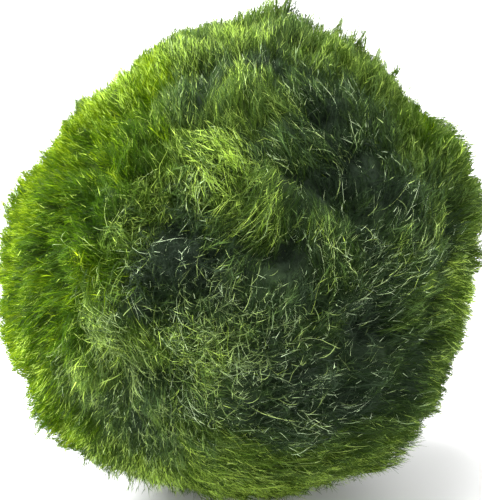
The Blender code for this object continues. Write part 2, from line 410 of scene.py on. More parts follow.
def spread_over_ball(count, seed, disorder=0.35):
    """Directions spread evenly over the whole ball, with a little disorder."""
    draw = np.random.default_rng(seed)
    index = np.arange(count) + 0.5
    height = 1.0 - 2.0 * index / count
    turn = index * math.pi * (3.0 - math.sqrt(5.0))
    ring = np.sqrt(1.0 - height**2)
    even = np.stack([ring * np.cos(turn), ring * np.sin(turn), height], axis=1)
    step = math.sqrt(4 * math.pi / count)
    return unit(even + draw.normal(scale=disorder * step, size=even.shape))


def make_locks():
    """All locks as arrays: their directions from the middle, their combs, and their habits,
    which are lift, length, freshness and disorder."""
    middles = []
    combs = []
    habits = []
    for right, up, heading, lift, length, freshness, disorder in front_locks:
        angle = math.radians(heading)
        middles.append(seen_direction(right, up))
        combs.append(math.cos(angle) * seen_right + math.sin(angle) * seen_up)
        habits.append((lift, length * MM, freshness, math.radians(disorder)))
    draw = np.random.default_rng(11)
    for middle in spread_over_ball(2 * back_lock_count, seed=12, disorder=0.2):
        near = middle @ seen_near
        if near > -0.05:
            continue
        outward = middle - near * seen_near
        swirl = np.cross(middle, seen_near)
        # Painted light: the locks just behind the rim are made fresher and brighter, most of all
        # on the lit left
        painted_rim_light = 0.3 * max(0.0, 1.0 + 3.0 * near)
        painted_left_light = 0.6 * max(0.0, -(middle @ seen_right)) * max(0.0, 1.0 + 1.5 * near)
        freshest = 0.90 if painted_left_light > 0.1 else 0.78
        wander = draw.normal(size=3)
        middles.append(middle)
        combs.append(unit(0.8 * outward + 0.5 * seen_up + 0.8 * swirl + 0.5 * wander))
        habits.append(
            (
                draw.uniform(0.3, 0.7),
                draw.uniform(3.6, 5.4) * MM,
                min(freshest, draw.uniform(0.35, 0.72) + max(painted_rim_light, painted_left_light)),
                math.radians(draw.uniform(12, 24)),
            )
        )
    return np.array(middles), np.array(combs), np.array(habits)


lock_middles, lock_combs, lock_habits = make_locks()
hollow_middles, hollow_reaches, hollow_depths = patches_of_front(hollows)
hollow_depths *= MM


def comb_at(directions):
    """The comb and the habits of the pile in each direction, blended between nearby locks."""
    at_once = 20000
    combs = np.empty((len(directions), 3))
    habits = np.empty((len(directions), 4))
    for start in range(0, len(directions), at_once):
        part = slice(start, start + at_once)
        apart = apart_from(lock_middles, directions[part])
        nearest = apart.min(axis=1, keepdims=True)
        share = np.exp(-(apart**2 - nearest**2) / (2 * lock_reach**2))
        share /= share.sum(axis=1, keepdims=True)
        combs[part] = share @ lock_combs
        habits[part] = share @ lock_habits
    return unit(combs), habits


def hollow_at(directions):
    """How far each place lies in a hollow, from 0 to 1, and how much deeper the tips are there."""
    share = np.exp(-((apart_from(hollow_middles, directions) / hollow_reaches) ** 2))
    return share.max(axis=1), (share * hollow_depths).max(axis=1)


def blown_up_cube(squares):
    """The points and square faces of a cube's grid, blown up into a ball of radius 1."""
    steps = np.tan(np.linspace(-1.0, 1.0, squares + 1) * math.pi / 4)
    numbers = {}
    points = []
    faces = []
    for axis, side, i, j in product(range(3), (-1.0, 1.0), range(squares), range(squares)):
        ring = []
        for a, b in ((i, j), (i + 1, j), (i + 1, j + 1), (i, j + 1)):
            point = [0.0, 0.0, 0.0]
            point[axis] = side
            point[(axis + 1) % 3] = float(steps[a])
            point[(axis + 2) % 3] = float(steps[b])
            key = tuple(round(value, 6) for value in point)
            if key not in numbers:
                numbers[key] = len(points)
                points.append(point)
            ring.append(numbers[key])
        faces.append(ring if side > 0 else ring[::-1])
    return unit(np.array(points)), faces


felt_directions, felt_faces = blown_up_cube(felt_squares)
felt_in_hollow, felt_hollows = hollow_at(felt_directions)
_, felt_habits = comb_at(felt_directions)
felt_stands = outer_reach(felt_directions) - felt_depth - felt_in_hollows * felt_hollows
felt_lumps = waves(felt_directions * ball_radius, felt_lump_width, seed=3)
felt_stands += felt_lump_height * felt_lumps
felt_points = ball_middle + felt_directions * felt_stands[:, None]
felt_points[:, 2] = np.maximum(felt_points[:, 2], felt_lowest)
felt_mesh = bpy.data.meshes.new("felt")
felt_mesh.from_pydata(felt_points.tolist(), [], felt_faces)
felt_mesh.shade_smooth()
felt_freshness_and_shade_layer = felt_mesh.attributes.new("freshness", "FLOAT", "POINT")
# The freshness attribute is lowered in the hollows, which paints the felt darker there: painted
# shade
felt_freshness_and_painted_shade = felt_habits[:, 2] - felt_painted_shade_in_hollows * felt_in_hollow
felt_freshness_and_shade_layer.data.foreach_set("value", felt_freshness_and_painted_shade.astype(np.float32))


def colour_map(nodes, stops):
    """A map from a value to a colour, with the first and last stop at its ends."""
    node = nodes.new("ShaderNodeValToRGB")
    elements = node.color_ramp.elements
    first, *between, last = stops
    elements[0].position, elements[0].color = first[0], (*first[1], 1.0)
    elements[1].position, elements[1].color = last[0], (*last[1], 1.0)
    for position, colour in between:
        elements.new(position).color = (*colour, 1.0)
    return node


def multiplied(nodes):
    """A mix that multiplies its colours A and B."""
    node = nodes.new("ShaderNodeMix")
    node.data_type = "RGBA"
    node.blend_type = "MULTIPLY"
    node.inputs["Factor"].default_value = 1.0
    return node


def felt_material():
    """Matted green, dark and bluish where the growth is old and where painted shade lowers its
    freshness in the hollows, and mottled all over.
    """
    material, nodes, links, shader = new_material("old felt", roughness=1.0, specular=0.1)
    where = nodes.new("ShaderNodeTexCoord")
    mottle = fill(nodes.new("ShaderNodeTexNoise"), {"Scale": 900.0, "Detail": 4.0})
    links.new(where.outputs["Object"], mottle.inputs["Vector"])
    old_green = (0.10, (0.027, 0.043, 0.025))
    middling_green = (0.55, (0.032, 0.056, 0.016))
    fresh_green = (0.90, (0.045, 0.080, 0.006))
    colours = colour_map(nodes, (old_green, middling_green, fresh_green))
    growth = nodes.new("ShaderNodeAttribute")
    growth.attribute_name = "freshness"
    links.new(growth.outputs["Fac"], colours.inputs["Fac"])
    mottled = multiplied(nodes)
    patches = colour_map(nodes, ((0.35, (0.45, 0.45, 0.45)), (0.70, (1.0, 1.0, 1.0))))
    links.new(mottle.outputs["Fac"], patches.inputs["Fac"])
    links.new(colours.outputs["Color"], mottled.inputs["A"])
    links.new(patches.outputs["Color"], mottled.inputs["B"])
    links.new(mottled.outputs["Result"], shader.inputs["Base Color"])
    bump = fill(nodes.new("ShaderNodeBump"), {"Strength": 0.8, "Distance": 0.2 * MM})
    links.new(mottle.outputs["Fac"], bump.inputs["Height"])
    links.new(bump.outputs["Normal"], shader.inputs["Normal"])
    return material


felt_mesh.materials.append(felt_material())
felt = add_object("felt", felt_mesh)
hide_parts("moss_ball")
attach(felt, "root")


# The living pile: the filaments of fresh algae that clothe the felt, and are rooted in it. They
# grow in small tufts whose tips draw together, lie along the comb of their lock, and branch as
# they grow. Here and there the outer ones have dried pale, and these pale ones also stand as
# painted highlights where light glints on the wet filaments.
tuft_count = 1600
tuft_draw = np.random.default_rng(21)
tuft_directions = spread_over_ball(tuft_count, seed=22, disorder=0.45)
tuft_turns = tuft_draw.normal(scale=math.radians(16), size=tuft_count)
tuft_nods = tuft_draw.normal(scale=0.10, size=tuft_count)
tuft_lengths = tuft_draw.uniform(0.82, 1.2, size=tuft_count)
tuft_depths = np.abs(tuft_draw.normal(scale=0.34, size=tuft_count)) * MM
tuft_freshness = tuft_draw.normal(scale=0.07, size=tuft_count)
tuft_pull = tuft_draw.uniform(0.15, 0.55, size=tuft_count)

# How far a filament goes its own way: how much of its comb is its tuft's, how far the comb
# strays, how much its heading, lift and freshness differ, and how the tuft's tips are domed
comb_of_tuft = 0.65
comb_stray = 0.8 * MM
heading_scatter = 1.4
lift_scatter = 0.12
freshness_scatter = 0.12
tuft_doming = 0.35

# On the colour map the older, bluer filaments lie below the least pure green, the fresh ones
# from there to the freshest, and the dried pale ones, which also stand as painted highlights,
# above all of them
least_pure = 0.79
freshest_living = 0.92
least_dried_highlight = 0.93
palest_dried_highlight = 0.98
dried_highlight_thinness = 0.86

# Where many of the outer filaments have dried pale, and where pale ones are laid on as painted
# highlight where the light falls: right and up of the middle, how far each place reaches (mm),
# and how dry and highlit it is
dry_and_highlight_places = (
    (-3.2, 10.5, 3.8, 6.0),
    (3.0, 5.0, 3.4, 1.6),
    (-4.0, -12.5, 5.5, 2.4),
    (4.0, -11.0, 5.0, 0.7),
    (12.0, -11.0, 5.0, 0.15),
    (8.0, -20.0, 6.0, 0.5),
    (8.5, 0.5, 4.0, 0.9),
    (0.5, 22.0, 3.0, 1.0),
    (16.0, -3.0, 5.0, 0.7),
    (27.5, -6.0, 6.0, 2.2),
    (-17.0, 21.0, 6.0, 8.0),
    (-9.0, 25.0, 5.0, 4.0),
    (0.0, 27.5, 4.0, 3.0),
    (-15.5, -11.0, 6.0, 1.3),
    (-10.0, -20.0, 6.0, 0.9),
    (-19.0, -18.0, 5.0, 1.4),
    (-28.0, -4.0, 4.0, 1.4),
    (-24.5, -14.0, 4.0, 2.6),
    (-18.5, -22.0, 4.0, 3.4),
    (-9.0, -27.0, 4.0, 4.0),
    (1.0, -28.5, 6.0, 4.5),
    (9.0, -28.0, 6.0, 4.0),
    (16.0, -25.0, 4.0, 2.0),
    (-11.0, 5.0, 5.0, 0.8),
    (-14.0, 17.0, 8.0, 0.8),
    (14.0, 24.0, 6.0, 0.7),
    (19.0, 0.0, 5.0, 0.6),
)
dry_and_highlight_elsewhere = 0.30
dry_and_highlight_patch_width = 2.0 * MM
dry_and_highlight_middles, dry_and_highlight_reaches, dry_and_highlight_shares = patches_of_front(dry_and_highlight_places)


def dryness_and_highlight_at(directions):
    """How dry the outer filaments are in each direction, and how much painted highlight they
    carry, in patches.
    """
    share = np.exp(-((apart_from(dry_and_highlight_middles, directions) / dry_and_highlight_reaches) ** 2))
    dryness_and_highlight = dry_and_highlight_elsewhere + (dry_and_highlight_shares * share).max(axis=1)
    patches = waves(directions * ball_radius, dry_and_highlight_patch_width, seed=62)
    return dryness_and_highlight * np.clip(0.9 + 0.5 * patches, 0.3, 1.6)


def laid_along(combs, directions, lift):
    """The way each tip points: along its comb as it is seen from the front or from behind, and
    leaning towards that side just enough to stand off the surface by the lift."""
    least_facing = 0.35
    least_lean, most_lean = -0.3, 2.5
    least_standing = 0.10
    side = np.where((directions @ seen_near)[:, None] >= 0, seen_near, -seen_near)
    facing = np.maximum((directions * side).sum(axis=1), least_facing)
    wanted = lift / np.sqrt(1 + lift**2)
    lean = np.zeros(len(directions))
    for _ in range(3):
        lean = (wanted * np.sqrt(1 + lean**2) - (combs * directions).sum(axis=1)) / facing
        lean = np.clip(lean, least_lean, most_lean)
    ways = unit(combs + lean[:, None] * side)
    standing = (ways * directions).sum(axis=1)
    return unit(ways + np.maximum(least_standing - standing, 0.0)[:, None] * directions)


def turned(vectors, axes, angles):
    """Each vector turned by its angle about its axis."""
    cosine = np.cos(angles)[:, None]
    sine = np.sin(angles)[:, None]
    along = (vectors * axes).sum(axis=1, keepdims=True)
    return vectors * cosine + np.cross(axes, vectors) * sine + axes * along * (1 - cosine)


def nearest_tuft(directions):
    """The number of the tuft that each place belongs to. Their borders wander."""
    border_waves = 1.2 * MM
    at_once = 4000
    places = directions * ball_radius
    wander = np.stack([waves(places, border_waves, seed=s) for s in (31, 32, 33)], axis=1)
    asked = unit(directions + wander * 0.5 * MM / ball_radius)
    numbers = np.empty(len(directions), dtype=int)
    for start in range(0, len(directions), at_once):
        part = slice(start, start + at_once)
        numbers[part] = (asked[part] @ tuft_directions.T).argmax(axis=1)
    return numbers


def with_dried_and_highlight_ones(looks, share, rng):
    """The same looks, where a share of the filaments are dried pale, which also stand as painted
    highlights, fewer in the hollows where the light doesn't reach. They are the palest where the
    pile is the oldest."""
    greener_with_freshness = 0.044
    here = share * (1 - 0.75 * looks["hollow"]) * looks["dryness_and_highlight"]
    dried = rng.uniform(size=len(here)) < here
    dried_highlight_tone = palest_dried_highlight - greener_with_freshness * np.clip(looks["fresh"], 0.22, 0.9)
    fresh = np.where(dried, dried_highlight_tone, looks["fresh"])
    bright = np.where(dried, rng.uniform(0.45, 1.2, size=len(dried)), looks["bright"])
    return {**looks, "fresh": fresh, "bright": bright}


def grow_paths(
    directions, steps, rng, depth_scale, length_scale, curl, lift_change=0.0, dried_and_highlight_share=0.06
):
    """The path of each filament from root to tip, as points, with what its look depends on."""
    count = len(directions)
    tufts = nearest_tuft(directions)
    centres = tuft_directions[tufts]
    strayed = rng.normal(scale=comb_stray / ball_radius, size=directions.shape)
    blended = unit(comb_of_tuft * centres + (1 - comb_of_tuft) * directions + strayed)
    combs, habits = comb_at(blended)
    lift, length, freshness, disorder = habits.T
    in_hollow, hollow_depth = hollow_at(directions)

    turns = tuft_turns[tufts] + heading_scatter * rng.normal(size=count) * disorder
    combs = turned(combs, directions, turns)
    lift = lift + lift_change + tuft_nods[tufts] + rng.normal(scale=lift_scatter, size=count)
    tip_ways = laid_along(combs, directions, lift)

    # The tips end just under the outer form, deeper at the tuft's border and in a hollow
    from_centre = np.linalg.norm(directions - centres, axis=1) * ball_radius
    depth = np.abs(rng.normal(scale=depth_scale, size=count))
    sunk = depth + tuft_depths[tufts] + tuft_doming * from_centre
    tips = ball_middle + directions * (outer_reach(directions) - sunk - hollow_depth)[:, None]
    tuft_tips = ball_middle + centres * (outer_reach(centres) - tuft_depths[tufts])[:, None]

    # From the tip each filament is followed back to its root, where it stands up out of the felt
    shorter_in_hollow = 0.3
    standing_at_root_only = 2.2
    root_sunk = 0.4 * MM
    length = length * length_scale * tuft_lengths[tufts] * rng.uniform(0.8, 1.2, size=count)
    length *= 1 - shorter_in_hollow * in_hollow
    along = np.linspace(0.0, 1.0, steps + 1)
    points = np.empty((count, steps + 1, 3))
    points[:, steps] = tips
    for step in range(steps, 0, -1):
        middle = (along[step] + along[step - 1]) / 2
        rootward = (1 - middle) ** standing_at_root_only
        way = unit(directions * rootward + tip_ways * (1 - rootward))
        points[:, step - 1] = points[:, step] - way * (length / steps)[:, None]
    points[:, 0] -= directions * root_sunk

    # It waves from side to side, and less up and down. Its tip is drawn to the tuft's own tip.
    bob_to_sway = 0.5
    drawn_at_tip_only = 1.5
    sideways = unit(np.cross(tip_ways, directions))
    phase = rng.uniform(0.0, 2 * math.pi, size=(2, count))
    waves_along = rng.uniform(0.5, 1.4, size=(2, count))
    swing = curl * length * rng.uniform(0.4, 1.0, size=count) * (0.5 + disorder / math.radians(20))
    drawn = (tuft_tips - tips) * (tuft_pull[tufts] * rng.uniform(0.5, 1.0, size=count))[:, None]
    for step, s in enumerate(along):
        sway = np.sin(phase[0] + 2 * math.pi * waves_along[0] * s) - np.sin(phase[0])
        bob = np.sin(phase[1] + 2 * math.pi * waves_along[1] * s) - np.sin(phase[1])
        points[:, step] += (swing * sway)[:, None] * sideways
        points[:, step] += (bob_to_sway * swing * bob)[:, None] * directions
        points[:, step] += drawn * s**drawn_at_tip_only

    # Pure green and older filaments keep apart on the colour map
    # In a hollow the filaments are moved towards the older, darker colours: painted shade
    hollow_painted_shade_on_freshness = 0.20
    patch_change, patch_width = 0.06, 5.0 * MM
    pure_change = 0.35
    change = tuft_freshness[tufts] + rng.normal(scale=freshness_scatter, size=count)
    change = change - hollow_painted_shade_on_freshness * in_hollow
    change += patch_change * waves(directions * ball_radius, patch_width, seed=61)
    pure = freshness > least_pure
    fresh = np.where(
        pure,
        np.clip(freshness + pure_change * change, least_pure, freshest_living),
        np.clip(freshness + change, 0.02, least_pure - 0.01),
    )

    # A few filaments are bright and most are dim, at random, and those that lie deep or in a
    # hollow get painted shade, dimmer still
    dimmest, bright_reach, few_bright = 0.12, 1.22, 2.1
    hollow_painted_shade_on_brightness = 0.4
    painted_shade_per_mm = 0.40
    bright = dimmest + bright_reach * rng.uniform(size=count) ** few_bright
    bright = bright * (1 - hollow_painted_shade_on_brightness * in_hollow)
    bright *= np.clip(1.15 - painted_shade_per_mm * sunk / MM, 0.35, 1.0)
    looks = {
        "fresh": fresh,
        "bright": bright,
        "hollow": in_hollow,
        "dryness_and_highlight": dryness_and_highlight_at(directions) * np.where(pure, 0.5, 1.0),
        "out": directions,
        "length": length,
    }
    return points, with_dried_and_highlight_ones(looks, dried_and_highlight_share, rng)


def side_filaments(paths, looks, count, rng):
    """Short filaments that leave each path at a narrow angle, as they branch in life."""
    first_branch, branching_part = 0.20, 0.7
    narrowest, widest = 12, 45
    shortest, longest = 0.22, 0.45
    steps = paths.shape[1] - 1
    rows = np.arange(len(paths))
    points = []
    begins = []
    for i in range(count):
        low = first_branch + branching_part * i / count
        leaves = rng.uniform(low, low + branching_part / count, size=len(paths))
        segment = np.minimum((leaves * steps).astype(int), steps - 1)
        rest = (leaves * steps - segment)[:, None]
        before = paths[rows, segment]
        after = paths[rows, segment + 1]
        root = before * (1 - rest) + after * rest
        way = unit(after - before)
        around = unit(np.cross(way, rng.normal(size=way.shape)))
        spread = np.radians(rng.uniform(narrowest, widest, size=len(paths)))
        leaving = turned(way, around, spread)
        shares = rng.uniform(shortest, longest, size=len(paths)) * (1.2 - 0.6 * leaves)
        tip = root + leaving * (looks["length"] * shares)[:, None]
        points.append(np.stack([root, tip], axis=1))
        begins.append(leaves)
    points = np.concatenate(points)
    begins = np.concatenate(begins)
    repeated = {key: np.concatenate([value] * count) for key, value in looks.items()}
    repeated["bright"] = repeated["bright"] * rng.uniform(0.7, 1.3, size=len(begins))
    return points, begins, with_dried_and_highlight_ones(repeated, 0.10, rng)


def ribbons(paths, looks, base_width, tip_width, rng, along_from=0.0, along_to=1.0):
    """Each path as a narrow tapering blade: points, places on the colour map, and faces. A blade
    lies about flat on the ball and twists along its way. Dried pale ones, which also stand as
    painted highlights, are thinner. On the colour map Y runs from root to tip times the
    brightness, and the material paints shade where it is low."""
    tilt_scatter = math.radians(50)
    twist_scatter = 0.9
    thickness_scatter = 0.34
    thinnest, thickest = 0.5, 1.5
    taper = 1.3
    count, stations, _ = paths.shape
    ways = unit(paths[:, -1] - paths[:, 0])
    flat = turned(looks["out"], ways, rng.normal(scale=tilt_scatter, size=count))
    across = unit(np.cross(ways, flat))
    twist = rng.normal(scale=twist_scatter, size=count)
    across = np.stack([turned(across, ways, twist * k) for k in range(stations - 1)], axis=1)
    s = np.linspace(0.0, 1.0, stations)
    thickness = np.exp(rng.normal(scale=thickness_scatter, size=count))
    thickness = np.clip(thickness, thinnest, thickest)
    thickness *= np.where(looks["fresh"] > least_dried_highlight, dried_highlight_thinness, 1.0)
    half = thickness[:, None] * (base_width + (tip_width - base_width) * s**taper)[None, :] / 2
    left = paths[:, :-1] - across * half[:, :-1, None]
    right = paths[:, :-1] + across * half[:, :-1, None]
    vertices = np.empty((count, 2 * stations - 1, 3))
    vertices[:, 0:-1:2] = left
    vertices[:, 1:-1:2] = right
    vertices[:, -1] = paths[:, -1]
    low = np.broadcast_to(np.asarray(along_from, dtype=float).reshape(-1, 1), (count, 1))
    reach = low + (along_to - low) * s[None, :]
    tone = np.clip(looks["fresh"], 0.02, palest_dried_highlight)
    half_map_width = 0.006
    maps = np.empty((count, 2 * stations - 1, 2))
    maps[:, 0:-1:2, 0] = tone[:, None] - half_map_width
    maps[:, 1:-1:2, 0] = tone[:, None] + half_map_width
    maps[:, -1, 0] = tone
    maps[:, 0:-1:2, 1] = reach[:, :-1]
    maps[:, 1:-1:2, 1] = reach[:, :-1]
    maps[:, -1, 1] = reach[:, -1]
    maps[:, :, 1] = np.clip(maps[:, :, 1] * looks["bright"][:, None], 0.01, 0.99)
    first = (np.arange(count) * (2 * stations - 1))[:, None]
    last = 2 * (stations - 2)
    quads = [first + np.array([[a, a + 1, a + 3, a + 2]]) for a in range(0, last, 2)]
    tips = first + np.array([[last, last + 1, last + 2]])
    quads = np.concatenate(quads) if quads else np.empty((0, 4), dtype=int)
    return vertices.reshape(-1, 3), maps.reshape(-1, 2), quads, tips


def mesh_piece(name, parts, material):
    """One mesh of all these blades, riding on the ball."""
    lowest = 0.02 * MM
    vertices, maps, quads, tips = zip(*parts)
    firsts = np.cumsum([0] + [len(part) for part in vertices[:-1]])
    vertices, maps = np.concatenate(vertices), np.concatenate(maps)
    vertices[:, 2] = np.maximum(vertices[:, 2], lowest)
    quads = np.concatenate([part + first for part, first in zip(quads, firsts)])
    tips = np.concatenate([part + first for part, first in zip(tips, firsts)])
    corner_numbers = np.concatenate([quads.ravel(), tips.ravel()]).astype(np.int32)
    sizes = np.concatenate([np.full(len(quads), 4), np.full(len(tips), 3)])
    starts = np.concatenate([[0], np.cumsum(sizes)[:-1]]).astype(np.int32)
    mesh = bpy.data.meshes.new(name)
    mesh.vertices.add(len(vertices))
    mesh.vertices.foreach_set("co", vertices.astype(np.float32).ravel())
    mesh.loops.add(len(corner_numbers))
    mesh.loops.foreach_set("vertex_index", corner_numbers)
    mesh.polygons.add(len(starts))
    mesh.polygons.foreach_set("loop_start", starts)
    layer = mesh.uv_layers.new(name="OFBake")
    layer.data.foreach_set("uv", maps[corner_numbers].astype(np.float32).ravel())
    mesh.update(calc_edges=True)
    mesh.validate()
    mesh.shade_smooth()
    mesh.materials.append(material)
    piece = add_object(name, mesh)
    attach(piece, "root")


def place_on_map(nodes, links):
    """A filament's place on the colour map: X is its freshness, and Y runs from root to tip, times
    its brightness, and sets how much painted shade it gets.
    """
    place = nodes.new("ShaderNodeUVMap")
    place.uv_map = "OFBake"
    split = nodes.new("ShaderNodeSeparateXYZ")
    links.new(place.outputs["UV"], split.inputs["Vector"])
    return split


def filament_material():
    """Living algae: green from blue-green to yellow-green, with painted shade towards the root,
    lit through.
    """
    painted_root_shade_to, full_colour_from = 0.10, 0.85
    lit_through_by, shows_through = 2.4, 0.40
    material, nodes, links, shader = new_material(
        "living filaments", roughness=0.50, specular=0.06
    )
    split = place_on_map(nodes, links)
    tip_stops = (
        (0.0, (0.033, 0.048, 0.031)),
        (0.14, (0.045, 0.070, 0.037)),
        (0.30, (0.053, 0.090, 0.037)),
        (0.40, (0.062, 0.108, 0.034)),
        (0.60, (0.119, 0.200, 0.047)),
        (0.76, (0.230, 0.322, 0.066)),
        (0.79, (0.058, 0.118, 0.009)),
        (0.86, (0.123, 0.208, 0.005)),
        (0.92, (0.206, 0.286, 0.005)),
        # The dried pale colours, which also stand as painted highlights
        (0.94, (0.385, 0.530, 0.070)),
        (0.957, (0.430, 0.570, 0.140)),
        (0.962, (0.480, 0.600, 0.310)),
        (0.98, (0.580, 0.710, 0.520)),
    )
    # Painted shade: the colours that the root end is multiplied by, fading to none towards the tip
    painted_root_shade_stops = (
        (0.0, (0.34, 0.40, 0.36)),
        (0.25, (0.26, 0.31, 0.28)),
        (0.45, (0.19, 0.23, 0.20)),
        (0.76, (0.20, 0.25, 0.15)),
        (0.80, (0.20, 0.30, 0.06)),
        (0.92, (0.20, 0.30, 0.06)),
        (1.0, (0.30, 0.36, 0.24)),
    )
    tips = colour_map(nodes, tip_stops)
    links.new(split.outputs["X"], tips.inputs["Fac"])
    shaded = multiplied(nodes)
    painted_root_shade_colours = colour_map(nodes, painted_root_shade_stops)
    links.new(split.outputs["X"], painted_root_shade_colours.inputs["Fac"])
    from_root = nodes.new("ShaderNodeMapRange")
    fill(from_root, {"From Min": painted_root_shade_to, "From Max": full_colour_from})
    links.new(split.outputs["Y"], from_root.inputs["Value"])
    painted_root_shade = nodes.new("ShaderNodeMix")
    painted_root_shade.data_type = "RGBA"
    fill(painted_root_shade, {"B": white})
    links.new(from_root.outputs["Result"], painted_root_shade.inputs["Factor"])
    links.new(painted_root_shade_colours.outputs["Color"], painted_root_shade.inputs["A"])
    links.new(tips.outputs["Color"], shaded.inputs["A"])
    links.new(painted_root_shade.outputs["Result"], shaded.inputs["B"])
    links.new(shaded.outputs["Result"], shader.inputs["Base Color"])
    through = nodes.new("ShaderNodeBsdfTranslucent")
    lit_through = nodes.new("ShaderNodeVectorMath")
    lit_through.operation = "SCALE"
    fill(lit_through, {"Scale": lit_through_by})
    links.new(shaded.outputs["Result"], lit_through.inputs["Vector"])
    links.new(lit_through.outputs["Vector"], through.inputs["Color"])
    both = fill(nodes.new("ShaderNodeMixShader"), {"Fac": shows_through})
    links.new(shader.outputs["BSDF"], both.inputs[1])
    links.new(through.outputs["BSDF"], both.inputs[2])
    links.new(both.outputs["Shader"], nodes["Material Output"].inputs["Surface"])
    return material


living = filament_material()


def thinned(directions, rng, hollow_loss):
    """Fewer filaments behind than in front, and fewer in the hollows."""
    kept_behind = 0.70
    behind_rim = -0.15
    in_hollow, _ = hollow_at(directions)
    front = directions @ seen_near > behind_rim
    keep = np.where(front, 1.0, kept_behind) * (1 - hollow_loss * in_hollow)
    return directions[rng.uniform(size=len(directions)) < keep]


# The under-pile: short, broad filaments of the same algae, which sprout all over the felt and
# close the gaps between the long ones. Little light reaches them, and they are also painted
# darker as painted shade: moved to older colours and kept to the shaded root end of the colour
# map.
under_count = 16000
under_depth = 0.7 * MM
under_painted_shade = 0.06
under_draw = np.random.default_rng(41)
under_directions = thinned(spread_over_ball(under_count, seed=42), under_draw, hollow_loss=0.0)
under_paths, under_looks = grow_paths(
    under_directions, 3, under_draw, depth_scale=1.2 * MM, length_scale=0.8, curl=0.05
)
under_paths -= (under_looks["out"] * under_depth)[:, None, :]
under_looks["fresh"] -= under_painted_shade
mesh_piece(
    "under_pile",
    [ribbons(under_paths, under_looks, 0.20 * MM, 0.07 * MM, under_draw, along_to=0.6)],
    living,
)

# The pile proper: the soft coat of branching filaments that is the ball's outside. Each one is
# rooted in the felt and carries finer side filaments. The coat is one growth, made here in four
# bands from the back to the front.
pile_count = 60000
side_count = 5
band_count = 4
pile_draw = np.random.default_rng(51)
pile_directions = thinned(spread_over_ball(pile_count, seed=52), pile_draw, hollow_loss=0.15)
back_to_front = np.argsort(pile_directions @ seen_near, kind="stable")
for number, band in enumerate(np.array_split(back_to_front, band_count), start=1):
    paths, looks = grow_paths(
        pile_directions[band], 4, pile_draw, depth_scale=0.45 * MM, length_scale=0.80, curl=0.06
    )
    side_points, side_begins, side_looks = side_filaments(paths, looks, side_count, pile_draw)
    mesh_piece(
        f"pile_{number}",
        [
            ribbons(paths, looks, 0.100 * MM, 0.040 * MM, pile_draw),
            ribbons(side_points, side_looks, 0.082 * MM, 0.038 * MM, pile_draw, side_begins),
        ],
        living,
    )

# The long strands: single filaments that outgrew the pile. They lie on it along the comb, with
# short side filaments, and many of them have dried pale, standing also as painted highlights.
strand_count = 12000
side_shortening = 0.6
strand_draw = np.random.default_rng(91)
strand_spread = spread_over_ball(strand_count, seed=92, disorder=1.0)
strand_directions = thinned(strand_spread, strand_draw, hollow_loss=0.1)
strands, strand_looks = grow_paths(
    strand_directions,
    6,
    strand_draw,
    depth_scale=0.10 * MM,
    length_scale=1.2,
    curl=0.035,
    lift_change=-0.25,
    dried_and_highlight_share=0.30,
)
strand_looks["length"] = strand_looks["length"] * side_shortening
side_points, side_begins, side_looks = side_filaments(strands, strand_looks, 2, strand_draw)
mesh_piece(
    "long_strands",
    [
        ribbons(strands, strand_looks, 0.078 * MM, 0.030 * MM, strand_draw, along_from=0.40),
        ribbons(side_points, side_looks, 0.070 * MM, 0.030 * MM, strand_draw, side_begins),
    ],
    living,
)

# Tall sprigs: branching filaments that stand up out of the pile, singly, in small spikes all over
# the ball, and in the tufts that make its outline ragged, most of all at the crown, the upper
# right and the lower left.
stray_count = 1500
spike_count = 1200
spike_sprigs = 5
spike_width = 0.35 * MM
spike_pull = 0.4
sprig_stands_out = 0.5 * MM
sprig_steps = 4
sprig_draw = np.random.default_rng(81)

# Each tuft: right and up of the middle, its width, how far its tips stand out (mm), and how many
# sprigs it has
tall_tufts = (
    (5.8, 29.9, 0.9, 0.9, 20),
    (4.4, 29.6, 1.4, 0.5, 22),
    (2.4, 29.6, 1.6, 0.4, 20),
    (7.0, 29.6, 1.0, 0.6, 12),
    (0.4, 29.6, 2.2, 0.6, 20),
    (9.7, 28.6, 1.0, 1.1, 14),
    (12.6, 27.8, 0.9, 1.4, 14),
    (14.3, 26.8, 0.8, 1.2, 10),
    (15.6, 25.9, 1.2, 1.0, 16),
    (17.6, 24.2, 1.0, 0.6, 14),
    (19.4, 22.6, 0.8, 1.8, 16),
    (29.8, 2.0, 0.8, 0.8, 4),
    (-19.0, 20.5, 1.0, 0.5, 8),
    (-13.0, 24.0, 1.2, 0.5, 8),
    (-26.0, 15.0, 2.0, 0.4, 10),
    (-29.6, -3.6, 1.0, 0.4, 7),
    (-28.6, -8.6, 0.8, 0.6, 8),
    (-27.4, -11.6, 0.8, 0.4, 7),
    (-25.8, -14.6, 0.8, 0.8, 9),
    (-23.8, -17.4, 0.8, 0.5, 8),
    (-21.9, -20.0, 0.8, 1.0, 10),
    (-19.4, -22.4, 0.8, 0.5, 8),
    (-17.2, -24.2, 0.8, 0.9, 10),
    (-14.4, -25.8, 0.9, 0.5, 8),
    (-11.8, -27.2, 0.8, 0.8, 9),
    (-7.5, -28.6, 1.0, 0.4, 8),
    (-2.0, -29.4, 1.0, 0.4, 8),
)


